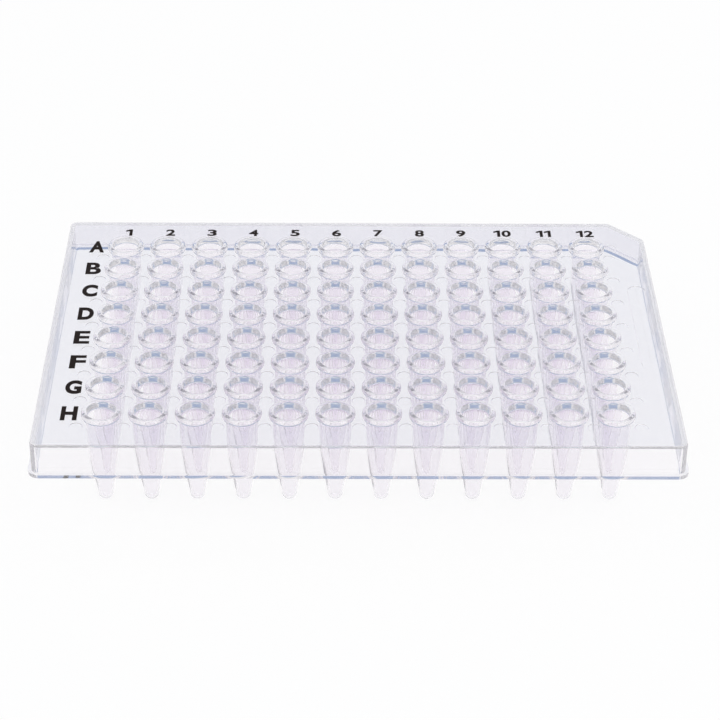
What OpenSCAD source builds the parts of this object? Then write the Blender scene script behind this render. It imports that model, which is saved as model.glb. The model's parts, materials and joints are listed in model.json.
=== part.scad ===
// 96-well plate with a half skirt, moulded in one piece from clear polypropylene.
// Origin: centre of the plate, on the plane that the well tips stand on. +Z up.
// Columns run along X, column 1 at -X. Rows run along Y, row A at +Y.
// The wells are the hard part of the mould: a thin shell with a drafted upper body,
// a cone, a round tip, a cap seat and a raised rim, on a grid that sets the rest.

/* [Well grid] */
// Distance between neighbouring wells, both ways
pitch = 9; // [8.5:0.1:11]
// Number of columns, along X
columns = 12; // [2:1:12]
// Number of rows, along Y
rows = 8; // [2:1:8]

/* [Deck] */
// Distance from the centres of the outer columns to the deck's edge
margin_x = 12.8; // [12:0.1:16]
// Distance from the centres of the outer rows to the deck's edge
margin_y = 10.8; // [9:0.1:14]
// Thickness of the deck
deck_t = 0.9; // [0.6:0.05:1.3]
// Radius of the upright corners
corner_r = 1.5; // [1:0.1:3]
// Radius of the rounding along the deck's top edge
edge_r = 0.3; // [0.1:0.05:0.5]
// Leg of the 45 degree notch that marks corner A12
notch = 7; // [5:0.1:8.5]

/* [Skirt] */
// Height of the skirt, from its foot to the deck top
skirt_h = 7.1; // [5.5:0.05:9]
// Wall thickness of the skirt
skirt_t = 1; // [0.8:0.05:1.3]
// How far the foot stands out all round
foot_out = 0.65; // [0.4:0.05:1]
// Height of the foot's upright face
foot_h = 0.8; // [0.5:0.05:1.2]

/* [Well] */
// Height from the well tips to the deck top
well_h = 19.95; // [16:0.05:24]
// Outer radius of a well where it leaves the deck
body_r = 3.12; // [2.6:0.02:3.5]
// Draft of a well's upper body, in degrees
body_draft = 1.5; // [0.5:0.1:2.5]
// Depth below the deck top where the cone starts
waist_z = 8.8; // [7.2:0.1:10.6]
// Outer radius of the round tip
tip_r = 1.5; // [1.2:0.02:1.8]
// Wall thickness of a well
wall = 0.38; // [0.3:0.01:0.46]
// Thickness of a well at the bottom of its tip
tip_t = 0.45; // [0.35:0.01:0.6]
// Height of the straight mouth, where a cap seats
mouth_h = 2; // [1.6:0.1:2.4]
// Radius of the fillet under the deck, round each well
web_r = 0.7; // [0.3:0.05:0.9]

/* [Rim] */
// How far the raised rim stands outside the well's body
rim_out = 0.78; // [0.6:0.02:0.95]
// Height of the rim above the deck
rim_h = 0.65; // [0.5:0.01:0.8]
// Taper of the rim's outer side
rim_taper = 0.08; // [0:0.01:0.1]
// Chamfer on the rim's outer edge
rim_edge = 0.12; // [0.05:0.01:0.15]
// Chamfer that leads a cap into the mouth
lead_in = 0.3; // [0.15:0.01:0.35]

/* [Marks] */
// Radius of the round ejector marks
mark_r = 1.22; // [0.8:0.02:1.4]
// Depth of the marks
mark_t = 0.08; // [0.05:0.01:0.15]
// Width of the long mark on the right margin
slot_w = 3.6; // [2.5:0.1:4.4]
// Length of the long mark on the right margin
slot_l = 31.6; // [20:0.1:38]
// Distance of the long mark's centre line from the deck's right edge
slot_in = 3.9; // [3.2:0.1:4.8]
// Distance of the mark beside well A12 from that well's centre
side_mark = 5.25; // [5.2:0.05:6]

/* [Hidden] */
eps = 0.01;
round_fn = 96; // the wells and the outline's corners
small_fn = 32; // fillets and roundings

half_w = (columns - 1) / 2 * pitch + margin_x; // centre to the deck's side edge
half_d = (rows - 1) / 2 * pitch + margin_y;    // centre to the deck's front edge
first_x = margin_x - half_w;                   // column 1
first_y = half_d - margin_y;                   // row A

deck_z = well_h;              // deck top
under_z = deck_z - deck_t;    // deck underside
foot_z = deck_z - skirt_h;    // underside of the foot
rim_z = deck_z + rim_h;       // top of the rims
rim_r = body_r + rim_out;     // outside of a rim
mouth_r = body_r - wall;      // inside of the straight mouth
seat_z = rim_z - lead_in - mouth_h; // lower end of the straight mouth
waist_up = deck_z - waist_z;  // height where the cone starts
waist_r = body_r - tan(body_draft) * (under_z - web_r - waist_up);
tip_in = tip_r - wall;        // inside radius of the tip

// Slope of the cone that runs from the waist to the tip's sphere.
cone = atan2(waist_r - tip_r, waist_up - tip_r);

// Outside of a well, from the tip's sphere to the deck, as [radius, height].
body = [
    [0, tip_r],
    [tip_r * cos(cone), tip_r + tip_r * sin(cone)],
    [waist_r, waist_up],
    [body_r, under_z - web_r],
    [body_r, under_z + eps],
    [0, under_z + eps]
];

// Raised rim, from the deck's underside up.
rim = [
    [0, under_z],
    [rim_r, under_z],
    [rim_r, deck_z],
    [rim_r - rim_taper, rim_z - rim_edge],
    [rim_r - rim_taper - rim_edge, rim_z],
    [0, rim_z]
];

// Cavity of a well, from the tip's inner sphere to the mouth.
cavity = [
    [0, tip_t + tip_in],
    [tip_in * cos(cone), tip_t + tip_in + tip_in * sin(cone)],
    [waist_r - wall, waist_up],
    [mouth_r, seat_z],
    [mouth_r, rim_z - lead_in],
    [mouth_r + lead_in, rim_z],
    [mouth_r + lead_in, rim_z + eps],
    [0, rim_z + eps]
];

// Centres of the outline's corner arcs, anticlockwise, for an outline that stands
// `grow` outside the deck's edge. The notch has two of them, at +X +Y.
function corners(grow, r) =
    let (
        x = half_w + grow - r,
        y = half_d + grow - r,
        cut = notch + (grow - r) * (2 - sqrt(2))
    )
    [[-x, -y], [x, -y], [x, y - cut], [x - cut, y], [-x, y]];

// Direction of the line from point a to point b.
function heading(a, b) = atan2(b.y - a.y, b.x - a.x);

// Outline of the plate, with a round corner at each centre.
module outline(grow, r) {
    centres = corners(grow, r);
    n = len(centres);
    polygon([
        for (i = [0:n - 1])
            let (
                before = heading(centres[(i + n - 1) % n], centres[i]),
                after = heading(centres[i], centres[(i + 1) % n])
            )
            for (way = [before, after])
                centres[i] + r * [sin(way), -cos(way)]
    ]);
    for (p = centres) translate(p) circle(r, $fn = round_fn);
}

// Sweeps a section round the outline: a part turn at each corner and a straight
// run to the next. In the section, x is 0 on the edge and grows outwards, y is up.
module sweep_outline(grow, r) {
    centres = corners(grow, r);
    n = len(centres);
    for (i = [0:n - 1]) {
        next = centres[(i + 1) % n];
        before = heading(centres[(i + n - 1) % n], centres[i]);
        after = heading(centres[i], next);
        translate(centres[i]) rotate(before - 90)
            rotate_extrude(angle = (after - before + 360) % 360, $fn = round_fn)
                translate([r, 0]) children();
        translate(next) rotate(after) rotate([90, 0, -90])
            linear_extrude(norm(next - centres[i])) translate([r, 0]) children();
    }
}

// What a rounding takes off an upright outer edge.
module edge_cutter(r) {
    translate([-r, -r]) difference() {
        square(r + eps);
        circle(r, $fn = small_fn);
    }
}

// One child at every well centre.
module at_wells() {
    for (i = [0:columns - 1], j = [0:rows - 1])
        translate([first_x + i * pitch, first_y - j * pitch, 0]) children();
}

// Deck, skirt and the foot that stands out along the skirt's lower edge.
module deck_and_skirt() {
    difference() {
        union() {
            translate([0, 0, foot_z]) linear_extrude(skirt_h) outline(0, corner_r);
            translate([0, 0, foot_z]) linear_extrude(foot_h) outline(foot_out, corner_r + foot_out);
        }
        translate([0, 0, foot_z - eps])
            linear_extrude(under_z - foot_z + eps) outline(-skirt_t, corner_r - skirt_t / 2);
        translate([0, 0, deck_z]) sweep_outline(0, corner_r) edge_cutter(edge_r);
    }
}

// Outside of one well with its fillet and its raised rim.
module well_outside() {
    rotate_extrude($fn = round_fn) {
        polygon(body);
        polygon(rim);
        translate([body_r, under_z - web_r]) difference() {
            square([web_r, web_r + eps]);
            translate([web_r, 0]) circle(web_r, $fn = small_fn);
        }
    }
    translate([0, 0, tip_r]) sphere(tip_r, $fn = round_fn);
}

// Cavity of one well, with its round bottom.
module well_cavity() {
    rotate_extrude($fn = round_fn) polygon(cavity);
    translate([0, 0, tip_t + tip_in]) sphere(tip_in, $fn = round_fn);
}

// Round ejector marks between the wells, beside the outer columns and in front
// of the front row, with one more beside the last well of row A.
module ejector_marks() {
    for (i = [0:columns], j = [1:rows])
        translate([first_x + (i - 0.5) * pitch, first_y - (j - 0.5) * pitch, deck_z - mark_t])
            cylinder(h = mark_t + eps, r = mark_r, $fn = round_fn);
    translate([first_x + (columns - 1) * pitch + side_mark, first_y, deck_z - mark_t])
        cylinder(h = mark_t + eps, r = mark_r, $fn = round_fn);
}

// Long mark with round ends on the right margin.
module slot_mark() {
    straight = slot_l - slot_w;
    translate([half_w - slot_in, 0, deck_z - mark_t]) linear_extrude(mark_t + eps) {
        square([slot_w, straight], center = true);
        for (side = [-1, 1])
            translate([0, side * straight / 2]) circle(slot_w / 2, $fn = round_fn);
    }
}

// The whole moulding.
module plate() {
    color([0.9, 0.89, 0.95, 0.6])
        difference() {
            union() {
                difference() {
                    deck_and_skirt();
                    ejector_marks();
                    slot_mark();
                }
                at_wells() well_outside();
            }
            at_wells() well_cavity();
        }
}

plate();
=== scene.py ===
"""A clear well plate: one moulding of polypropylene, with its printed row letters and column numbers."""

import json
import math

import bmesh
import bpy
from mathutils import Matrix, Vector

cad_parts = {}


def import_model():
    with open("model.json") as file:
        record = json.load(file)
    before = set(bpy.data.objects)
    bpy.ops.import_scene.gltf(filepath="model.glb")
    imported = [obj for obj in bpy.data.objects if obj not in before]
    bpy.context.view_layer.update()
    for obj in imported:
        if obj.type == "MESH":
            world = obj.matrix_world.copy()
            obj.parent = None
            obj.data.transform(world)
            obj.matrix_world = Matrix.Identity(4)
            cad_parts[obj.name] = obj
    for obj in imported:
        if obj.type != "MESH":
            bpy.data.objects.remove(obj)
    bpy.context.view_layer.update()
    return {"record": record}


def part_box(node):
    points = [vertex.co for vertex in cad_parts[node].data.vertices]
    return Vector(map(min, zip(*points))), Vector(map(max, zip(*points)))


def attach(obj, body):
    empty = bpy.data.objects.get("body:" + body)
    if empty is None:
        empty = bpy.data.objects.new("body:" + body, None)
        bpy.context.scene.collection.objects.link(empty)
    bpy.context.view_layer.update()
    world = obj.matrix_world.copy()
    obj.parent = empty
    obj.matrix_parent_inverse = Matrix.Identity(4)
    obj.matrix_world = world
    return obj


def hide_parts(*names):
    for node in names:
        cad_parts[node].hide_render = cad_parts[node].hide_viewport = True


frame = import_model()

# Shapes are modelled in millimetres, in the frame's axes, and made metres when a piece is finished.
MM = 0.001
ROWS = "ABCDEFGH"
COLUMNS = 12

# ---- Sizes, in millimetres and degrees -------------------------------------------------------

mounts = {mount["name"]: Vector(mount["pos_m"]) / MM for mount in frame["record"]["mounts"]}
first_well = mounts["well_a1_mouth"]
last_well = mounts["well_h12_mouth"]
pitch = (last_well.x - first_well.x) / (COLUMNS - 1)
plate_low, plate_high = (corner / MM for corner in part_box("plate"))
rim_z = plate_high.z
foot_z = mounts["foot"].z

RIM_HEIGHT = 0.65
DECK_THICKNESS = 0.9
SKIRT_THICKNESS = 1.0
FOOT_OUT = 0.65
FOOT_HEIGHT = 0.8
CORNER_RADIUS = 1.5
EDGE_RADIUS = 0.3
NOTCH_LEG = 7.0

BODY_RADIUS = 3.12    # outside of a well, just below the deck
BODY_DRAFT = 1.5      # of a well's upper body, in degrees
WAIST_DEPTH = 8.8     # from the deck's top to where a well turns into a cone
TIP_RADIUS = 1.5
WELL_WALL = 0.38
TIP_THICKNESS = 0.45
MOUTH_HEIGHT = 2.0
WEB_RADIUS = 0.7      # fillet under the deck, round a well
RIM_OUT = 0.78
RIM_TAPER = 0.08
RIM_EDGE = 0.14
SEAT_DEPTH = 0.3      # from the top of a rim to its straight mouth
LIP_RADIUS = 0.45     # rounding of a mouth's inner edge

MARK_RADIUS = 1.22
MARK_DEPTH = 0.06
MARK_SLOPE = 0.12     # width of a mark's sloping edge
SLOT_WIDTH = 3.6
SLOT_LENGTH = 31.6
SLOT_INSET = 3.9      # from the deck's right edge to the long mark's centre line
SIDE_MARK = 5.25      # from well A12's centre to the mark beside it

WELL_STEPS = 30      # sides of a well
MARK_STEPS = 20      # sides of a round mark
CORNER_STEPS = 10    # faces round a corner of the outline

deck_z = rim_z - RIM_HEIGHT
under_z = deck_z - DECK_THICKNESS
waist_z = deck_z - WAIST_DEPTH
waist_radius = BODY_RADIUS - math.tan(math.radians(BODY_DRAFT)) * (under_z - WEB_RADIUS - waist_z)
mouth_radius = BODY_RADIUS - WELL_WALL
rim_radius = BODY_RADIUS + RIM_OUT
cone = math.atan2(waist_radius - TIP_RADIUS, waist_z - TIP_RADIUS)
half_width = plate_high.x - FOOT_OUT
half_depth = plate_high.y - FOOT_OUT


# ---- Modelling tools -------------------------------------------------------------------------

def arc(centre, radius, start, end, steps):
    """Points (radius, height) along an arc of a well's section, between two angles in degrees."""
    turns = [math.radians(start + (end - start) * i / steps) for i in range(steps + 1)]
    return [(centre[0] + radius * math.cos(t), centre[1] + radius * math.sin(t)) for t in turns]


def spin_section(bm, section, steps):
    """Turns a section of (radius, height) points round the Z axis."""
    verts = [bm.verts.new((radius, 0, height)) for radius, height in section]
    edges = [bm.edges.new(pair) for pair in zip(verts, verts[1:])]
    bmesh.ops.spin(bm, geom=verts + edges, cent=(0, 0, 0), axis=(0, 0, 1), dvec=(0, 0, 0),
                   angle=2 * math.pi, steps=steps, use_merge=True, use_duplicate=False)


def round_corners(bm, face, turn_sizes, radius, segments):
    """Rounds a flat face's corners. turn_sizes gives each corner's turn in degrees."""
    corners = list(face.verts)
    for turn in sorted(set(turn_sizes)):
        chosen = [v for v, size in zip(corners, turn_sizes) if size == turn]
        bmesh.ops.bevel(bm, geom=chosen, offset=radius * math.tan(math.radians(turn) / 2),
                        offset_type="OFFSET", segments=segments, profile=0.5, affect="VERTICES",
                        material=-1)


def new_face(bm, points, z):
    """A level face through a few (x, y) corners."""
    return bm.faces.new([bm.verts.new((x, y, z)) for x, y in points])


def step_face(bm, face, inward, upward):
    """Carries a flat face on by one step of its border's section, and returns it."""
    along = upward if face.normal.z > 0 else -upward
    bmesh.ops.inset_region(bm, faces=[face], thickness=inward, depth=along, use_boundary=True,
                           use_even_offset=True)
    return face


def open_edges(bm, z):
    """Edges at one height that a flat fill still has to reach."""
    return [e for e in bm.edges if len(e.link_faces) == 1
            and all(abs(v.co.z - z) < 1e-4 for v in e.verts)]


def fill_level(bm, z, normal):
    """Fills the level at z, round every opening in it."""
    filled = bmesh.ops.triangle_fill(bm, edges=open_edges(bm, z), normal=normal, use_beauty=True,
                                     use_dissolve=False)
    return [g for g in filled["geom"] if isinstance(g, bmesh.types.BMFace)]


def finish_piece(name, bm, material, sharp=math.radians(32)):
    """Makes a finished bmesh a piece that rides on the plate's body."""
    bmesh.ops.recalc_face_normals(bm, faces=bm.faces)
    for edge in bm.edges:
        edge.smooth = (edge.is_manifold and edge.calc_face_angle() < sharp
                       and all(face.smooth for face in edge.link_faces))
    bmesh.ops.scale(bm, vec=(MM, MM, MM), verts=bm.verts)
    mesh = bpy.data.meshes.new(name)
    bm.to_mesh(mesh)
    bm.free()
    mesh.materials.append(material)
    piece = bpy.data.objects.new(name, mesh)
    bpy.context.scene.collection.objects.link(piece)
    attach(piece, "root")
    return piece


# ---- Shader tools ----------------------------------------------------------------------------

class Shader:
    """A material's or world's node tree, with one method that adds any node."""

    def __init__(self, owner):
        owner.use_nodes = True
        self.tree = owner.node_tree
        self.tree.nodes.clear()

    def node(self, kind, settings=None, **sockets):
        """Adds a node. Its settings are set first, then its sockets by value or by link."""
        made = self.tree.nodes.new("ShaderNode" + kind)
        for name, value in (settings or {}).items():
            setattr(made, name, value)
        for name, value in sockets.items():
            socket = self.socket(made, name)
            if isinstance(value, Value):
                self.tree.links.new(value.link, socket)
            else:
                socket.default_value = value
        return made

    @staticmethod
    def socket(made, name):
        """An input by name, or by number as i0. A Mix node has several of one name: the live one counts."""
        if name[0] == "i" and name[1:].isdigit():
            return made.inputs[int(name[1:])]
        return next(s for s in made.inputs if s.name == name.replace("_", " ") and s.enabled)

    def out(self, made, name=None):
        """An output by name, or the first one in use."""
        return Value(self, next(s for s in made.outputs if s.enabled and name in (None, s.name)))


class Value:
    """A socket that takes part in Python arithmetic, each operation of which adds a Math node."""

    def __init__(self, shader, link):
        self.shader = shader
        self.link = link

    def math(self, operation, first, second):
        made = self.shader.node("Math", {"operation": operation}, i0=first, i1=second)
        return self.shader.out(made)

    def __add__(self, other):
        return self.math("ADD", self, other)

    def __sub__(self, other):
        return self.math("SUBTRACT", self, other)

    def __mul__(self, other):
        return self.math("MULTIPLY", self, other)

    def __rsub__(self, other):
        return self.math("SUBTRACT", other, self)

    __radd__ = __add__
    __rmul__ = __mul__

    def maximum(self, other):
        return self.math("MAXIMUM", self, other)

    def fade(self, low, high):
        """Rises smoothly from 0 at low to 1 at high."""
        made = self.shader.node("MapRange", {"interpolation_type": "SMOOTHSTEP"}, Value=self,
                                From_Min=low, From_Max=high)
        return self.shader.out(made)


# ---- Materials -------------------------------------------------------------------------------

def clear_polypropylene():
    """Polished natural polypropylene: clear with a cool, slightly milky cast, and faintly wavy faces."""
    material = bpy.data.materials.new("clear_polypropylene")
    shader = Shader(material)
    place = shader.out(shader.node("TexCoord"), "Object")
    side = shader.out(shader.node("NewGeometry"), "Normal")
    apart = shader.node("VectorMath", {"operation": "MULTIPLY_ADD"}, i0=side, i1=(0.004, 0.004, 0.004),
                        i2=place)
    waves = shader.out(shader.node("TexNoise", {"noise_dimensions": "3D"}, Vector=shader.out(apart),
                                   Scale=75.0, Detail=1.0, Roughness=0.4))
    grain = shader.out(shader.node("TexNoise", {"noise_dimensions": "3D"}, Vector=place, Scale=900.0,
                                   Detail=2.0, Roughness=0.6))
    bump = shader.node("Bump", Strength=1.0, Distance=0.0004, Height=waves)
    plastic = shader.node("BsdfPrincipled", Base_Color=(0.976, 0.964, 0.984, 1), IOR=1.49,
                          Roughness=grain * 0.04, Transmission_Weight=1.0,
                          Normal=shader.out(bump))
    shade = shader.node("BsdfTransparent", Color=(0.95, 0.925, 0.97, 1))
    rays = shader.node("LightPath")
    mixed = shader.node("MixShader", i0=shader.out(rays, "Is Shadow Ray"), i1=shader.out(plastic),
                        i2=shader.out(shade))
    haze = shader.node("VolumeScatter", Color=(0.990, 0.986, 0.998, 1), Density=50.0)
    shader.node("OutputMaterial", Surface=shader.out(mixed), Volume=shader.out(haze))
    return material


def black_ink():
    """Printed ink, nearly black and slightly warm, with a dull sheen."""
    material = bpy.data.materials.new("black_ink")
    shader = Shader(material)
    place = shader.out(shader.node("TexCoord"), "Object")
    mottle = shader.out(shader.node("TexNoise", {"noise_dimensions": "3D"}, Vector=place,
                                    Scale=1500.0, Detail=2.0))
    ink = shader.node("BsdfPrincipled", Base_Color=(0.014, 0.008, 0.006, 1), Specular_IOR_Level=0.1,
                      Roughness=mottle * 0.2 + 0.45)
    shader.node("OutputMaterial", Surface=shader.out(ink))
    return material


# ---- The moulding ----------------------------------------------------------------------------

def well_positions():
    """The centre of each well, in millimetres."""
    return [(first_well.x + column * pitch, first_well.y - row * pitch)
            for row in range(len(ROWS)) for column in range(COLUMNS)]


def well_outside():
    """Section of a well's outside, from the fillet under the deck down to the tip."""
    web_foot = under_z - WEB_RADIUS
    half_turn = math.degrees(cone)
    return [
        *arc((BODY_RADIUS + WEB_RADIUS, web_foot), WEB_RADIUS, 90, 180, 4),
        (waist_radius, waist_z),
        *arc((0, TIP_RADIUS), TIP_RADIUS, half_turn, -90, 6),
    ]


def well_inside():
    """Section of a well's cavity from the bottom up, and on over its rim to the deck."""
    tip = TIP_RADIUS - WELL_WALL
    half_turn = math.degrees(cone)
    lip = rim_radius - RIM_TAPER
    seat_z = rim_z - SEAT_DEPTH - MOUTH_HEIGHT
    return [
        *arc((0, TIP_THICKNESS + tip), tip, -90, half_turn, 5),
        (waist_radius - WELL_WALL, waist_z),
        (mouth_radius, seat_z),
        *arc((mouth_radius + LIP_RADIUS, rim_z - LIP_RADIUS), LIP_RADIUS, 180, 90, 4),
        *arc((lip - RIM_EDGE, rim_z - RIM_EDGE), RIM_EDGE, 90, 0, 3),
        (rim_radius, deck_z),
    ]


def add_wells(bm):
    """One well, turned from its two sections, and its copies at the other places."""
    for section in (well_outside(), well_inside()):
        spin_section(bm, section, WELL_STEPS)
    bmesh.ops.remove_doubles(bm, verts=bm.verts, dist=1e-4)
    one = bm.verts[:] + bm.edges[:] + bm.faces[:]
    first, *others = well_positions()
    for x, y in others:
        copy = bmesh.ops.duplicate(bm, geom=one)["geom"]
        bmesh.ops.translate(bm, vec=(x, y, 0),
                            verts=[g for g in copy if isinstance(g, bmesh.types.BMVert)])
    bmesh.ops.translate(bm, vec=(*first, 0),
                        verts=[g for g in one if isinstance(g, bmesh.types.BMVert)])


def add_deck_and_skirt(bm):
    """Border of the deck, skirt and foot, grown from the foot's outline. Returns the two level faces."""
    x, y = half_width + FOOT_OUT, half_depth + FOOT_OUT
    cut = NOTCH_LEG + FOOT_OUT * (2 - math.sqrt(2))
    face = new_face(bm, [(-x, -y), (x, -y), (x, y - cut), (x - cut, y), (-x, y)], foot_z)
    round_corners(bm, face, [90, 90, 45, 45, 90], CORNER_RADIUS + FOOT_OUT, CORNER_STEPS)
    under = max(bm.faces, key=lambda f: f.calc_area())
    under.normal_update()
    top = bmesh.ops.extrude_face_region(bm, geom=[under], use_keep_orig=True)["geom"]
    top_face = next(g for g in top if isinstance(g, bmesh.types.BMFace) and len(g.verts) > 4)
    bmesh.ops.translate(bm, vec=(0, 0, FOOT_HEIGHT), verts=top_face.verts)
    bmesh.ops.recalc_face_normals(bm, faces=bm.faces)
    top_face = step_face(bm, top_face, FOOT_OUT, 0)
    top_face = step_face(bm, top_face, 0, deck_z - EDGE_RADIUS - foot_z - FOOT_HEIGHT)
    rounding = arc((-EDGE_RADIUS, -EDGE_RADIUS), EDGE_RADIUS, 0, 90, 4)
    for before, after in zip(rounding, rounding[1:]):
        top_face = step_face(bm, top_face, before[0] - after[0], after[1] - before[1])
    under = step_face(bm, under, FOOT_OUT + SKIRT_THICKNESS, 0)
    under = step_face(bm, under, 0, under_z - foot_z)
    return top_face, under


def add_marks(bm):
    """Shallow marks in the deck's top: round ones from the ejector pins and a long one on the right."""
    places = [(first_well.x + (column - 0.5) * pitch, first_well.y - (row - 0.5) * pitch)
              for row in range(1, len(ROWS) + 1) for column in range(COLUMNS + 1)]
    places.append((last_well.x + SIDE_MARK, first_well.y))
    floors = []
    for x, y in places:
        made = bmesh.ops.create_circle(bm, cap_ends=True, radius=MARK_RADIUS + MARK_SLOPE,
                                       segments=MARK_STEPS,
                                       matrix=Matrix.Translation((x, y, deck_z)))
        floors.append(made["verts"][0].link_faces[0])
    x, w, l = half_width - SLOT_INSET, SLOT_WIDTH / 2 + MARK_SLOPE, SLOT_LENGTH / 2 + MARK_SLOPE
    slot = new_face(bm, [(x - w, -l), (x + w, -l), (x + w, l), (x - w, l)], deck_z)
    known = set(bm.faces) - {slot}
    round_corners(bm, slot, [90] * 4, w * 0.999, MARK_STEPS // 2)
    slot = max(set(bm.faces) - known, key=lambda f: f.calc_area())
    floors.append(slot)
    for floor in floors:
        floor.normal_update()
        if floor.normal.z < 0:
            floor.normal_flip()
        step_face(bm, floor, MARK_SLOPE, -MARK_DEPTH)
    return floors


def moulding():
    """The whole plate as one closed shell: wells, border and marks, with the levels filled between them."""
    bm = bmesh.new()
    add_wells(bm)
    border = bmesh.new()
    levels = add_deck_and_skirt(border)
    bmesh.ops.delete(border, geom=list(levels), context="FACES_ONLY")
    mesh = bpy.data.meshes.new("border")
    border.to_mesh(mesh)
    border.free()
    bm.from_mesh(mesh)
    bpy.data.meshes.remove(mesh)
    flat = add_marks(bm)
    for face in bm.faces:
        face.smooth = True
    flat += fill_level(bm, deck_z, (0, 0, 1)) + fill_level(bm, under_z, (0, 0, -1))
    for face in flat:
        face.smooth = False
    return bm


# ---- The lettering ---------------------------------------------------------------------------

LETTER_SIZE = (3.2, 4.75)     # width and height
LETTER_LEFT = 6.15            # from the middle of column 1 to the middle of a row letter
DIGIT_SIZE = (2.0, 2.7)
ONE_SIZE = (1.45, 2.7)
DIGIT_GAP = 0.3
NUMBER_BACK = 6.15            # from the middle of row A to the middle of a column number
NUMBER_RIGHT = 0.25
INK_THICKNESS = 0.02
INK_WEIGHT = {"A": 0.05, "C": 0.055, "D": 0.05, "G": 0.05, "H": 0.045}     # added to the strokes


def one_slab():
    """A figure one with a flag, which the built-in lettering draws as a plain bar."""
    bm = bmesh.new()
    face = new_face(bm, [(0.54, 0), (1, 0), (1, 1), (0.64, 1), (0, 0.84), (0, 0.62), (0.54, 0.72)], 0)
    top = bmesh.ops.extrude_face_region(bm, geom=[face], use_keep_orig=True)["geom"]
    bmesh.ops.translate(bm, vec=(0, 0, 1), verts=[g for g in top if isinstance(g, bmesh.types.BMVert)])
    return bm


def character_slab(character):
    """One character of the built-in lettering, as a thin slab."""
    curve = bpy.data.curves.new(character, "FONT")
    curve.body = character
    curve.offset = INK_WEIGHT.get(character, 0.033)
    curve.extrude = 0.01
    curve.resolution_u = 6
    drawn = bpy.data.objects.new(character, curve)
    mesh = bpy.data.meshes.new_from_object(drawn)
    bm = bmesh.new()
    bm.from_mesh(mesh)
    bpy.data.objects.remove(drawn)
    bpy.data.meshes.remove(mesh)
    bmesh.ops.remove_doubles(bm, verts=bm.verts, dist=1e-5)
    return bm


def print_character(name, character, place, size, material):
    """A printed character of a given width and height, centred at a place on the deck."""
    bm = one_slab() if character == "1" else character_slab(character)
    low = Vector([min(v.co[i] for v in bm.verts) for i in range(3)])
    high = Vector([max(v.co[i] for v in bm.verts) for i in range(3)])
    bmesh.ops.translate(bm, vec=-(low + high) / 2, verts=bm.verts)
    size = Vector((*size, INK_THICKNESS))
    bmesh.ops.scale(bm, vec=[size[i] / (high[i] - low[i]) for i in range(3)], verts=bm.verts)
    bmesh.ops.translate(bm, vec=(*place, deck_z + INK_THICKNESS / 2 + 0.004), verts=bm.verts)
    return finish_piece(name, bm, material)


def lettering(material):
    """Row letters down the left margin, and column numbers along the back, one piece to a digit."""
    for row, letter in enumerate(ROWS):
        print_character(f"letter_{letter}", letter, (first_well.x - LETTER_LEFT, first_well.y - row * pitch),
                        LETTER_SIZE, material)
    for column in range(COLUMNS):
        digits = str(column + 1)
        sizes = [ONE_SIZE if digit == "1" else DIGIT_SIZE for digit in digits]
        width = sum(size[0] for size in sizes) + DIGIT_GAP * (len(digits) - 1)
        left = first_well.x + column * pitch + NUMBER_RIGHT - width / 2
        for i, (digit, size) in enumerate(zip(digits, sizes)):
            place = (left + size[0] / 2, first_well.y + NUMBER_BACK)
            print_character(f"number_{digits}_digit_{i + 1}", digit, place, size, material)
            left += size[0] + DIGIT_GAP


plastic = clear_polypropylene()
lettering(black_ink())
plate = finish_piece("clear_plate", moulding(), plastic)
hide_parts("plate")


# ---- Floor, light and camera -----------------------------------------------------------------

def floor():
    """A plain pale floor. It shows the same white to the camera, in reflections and through the plastic."""
    material = bpy.data.materials.new("pale_floor")
    shader = Shader(material)
    rays = shader.node("LightPath")
    mirrored = shader.out(rays, "Is Glossy Ray").maximum(shader.out(rays, "Is Transmission Ray"))
    seen = shader.out(rays, "Is Camera Ray").maximum(mirrored) * 0.90
    sheet = shader.node("BsdfDiffuse", Color=(0.90, 0.90, 0.90, 1))
    glow = shader.node("Emission", Color=(1, 1, 1, 1), Strength=1.0)
    mixed = shader.node("MixShader", i0=seen, i1=shader.out(sheet), i2=shader.out(glow))
    shader.node("OutputMaterial", Surface=shader.out(mixed))
    bm = bmesh.new()
    bmesh.ops.create_grid(bm, x_segments=1, y_segments=1, size=3.0)
    mesh = bpy.data.meshes.new("floor")
    bm.to_mesh(mesh)
    bm.free()
    mesh.materials.append(material)
    piece = bpy.data.objects.new("floor", mesh)
    bpy.context.scene.collection.objects.link(piece)


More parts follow.
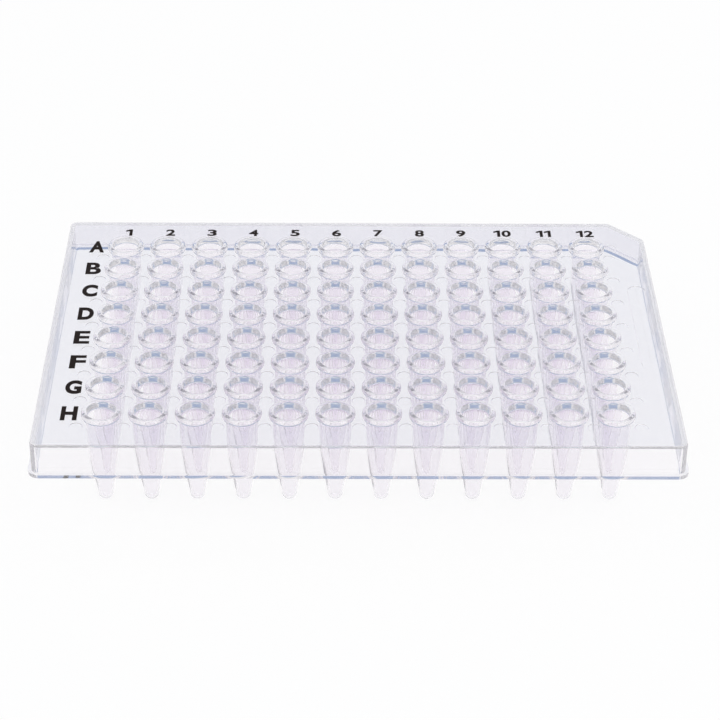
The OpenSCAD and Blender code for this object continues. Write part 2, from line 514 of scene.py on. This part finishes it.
def world():
    """Soft studio light: nearly white, with one cool grey panel above and behind the plate."""
    made = bpy.data.worlds.new("studio")
    bpy.context.scene.world = made
    shader = Shader(made)
    direction = shader.node("SeparateXYZ", Vector=shader.out(shader.node("TexCoord"), "Generated"))
    back, height = shader.out(direction, "Y"), shader.out(direction, "Z")
    panel = height.fade(0.28, 0.42) * (1 - height.fade(0.66, 0.80)) * back.fade(0.30, 0.62)
    studio = shader.node("Mix", {"data_type": "RGBA"}, Factor=panel, A=(0.97, 0.97, 0.97, 1),
                         B=(0.35, 0.45, 0.66, 1))
    sky = shader.node("Background", Color=shader.out(studio, "Result"), Strength=0.9)
    shader.node("OutputWorld", Surface=shader.out(sky))


def lamp(name, place, size, power):
    """A round soft light that faces the plate."""
    data = bpy.data.lights.new(name, "AREA")
    data.shape, data.size, data.energy = "DISK", size, power
    piece = bpy.data.objects.new(name, data)
    piece.location = place
    piece.rotation_euler = (-Vector(place)).to_track_quat("-Z", "Y").to_euler()
    bpy.context.scene.collection.objects.link(piece)


def camera():
    """Looks down at the front of the plate from almost straight ahead."""
    aim = Vector((0.0004, -0.01257, deck_z * MM))
    azimuth, elevation, roll = math.radians(0.83), math.radians(33.26), math.radians(0.60)
    distance = 0.4604
    data = bpy.data.cameras.new("camera")
    data.sensor_width, data.lens = 36.0, 115.55
    data.clip_start, data.clip_end = 0.01, 20
    piece = bpy.data.objects.new("camera", data)
    look = Vector((math.sin(azimuth) * math.cos(elevation), math.cos(azimuth) * math.cos(elevation),
                   -math.sin(elevation)))
    turn = look.to_track_quat("-Z", "Y").to_matrix().to_4x4()
    piece.matrix_world = Matrix.Translation(aim - distance * look) @ turn @ Matrix.Rotation(roll, 4, "Z")
    bpy.context.scene.collection.objects.link(piece)
    bpy.context.scene.camera = piece


floor()
world()
lamp("overhead", (0.25, -0.15, 0.9), 0.7, 2.2)
camera()
bpy.context.scene.view_settings.view_transform = "Standard"
# Light crosses many thin walls, and runs along inside them, before it leaves the plate.
paths = bpy.context.scene.cycles
paths.max_bounces = paths.transmission_bounces = paths.glossy_bounces = 512
paths.transparent_max_bounces = paths.diffuse_bounces = 512
paths.volume_bounces = 64
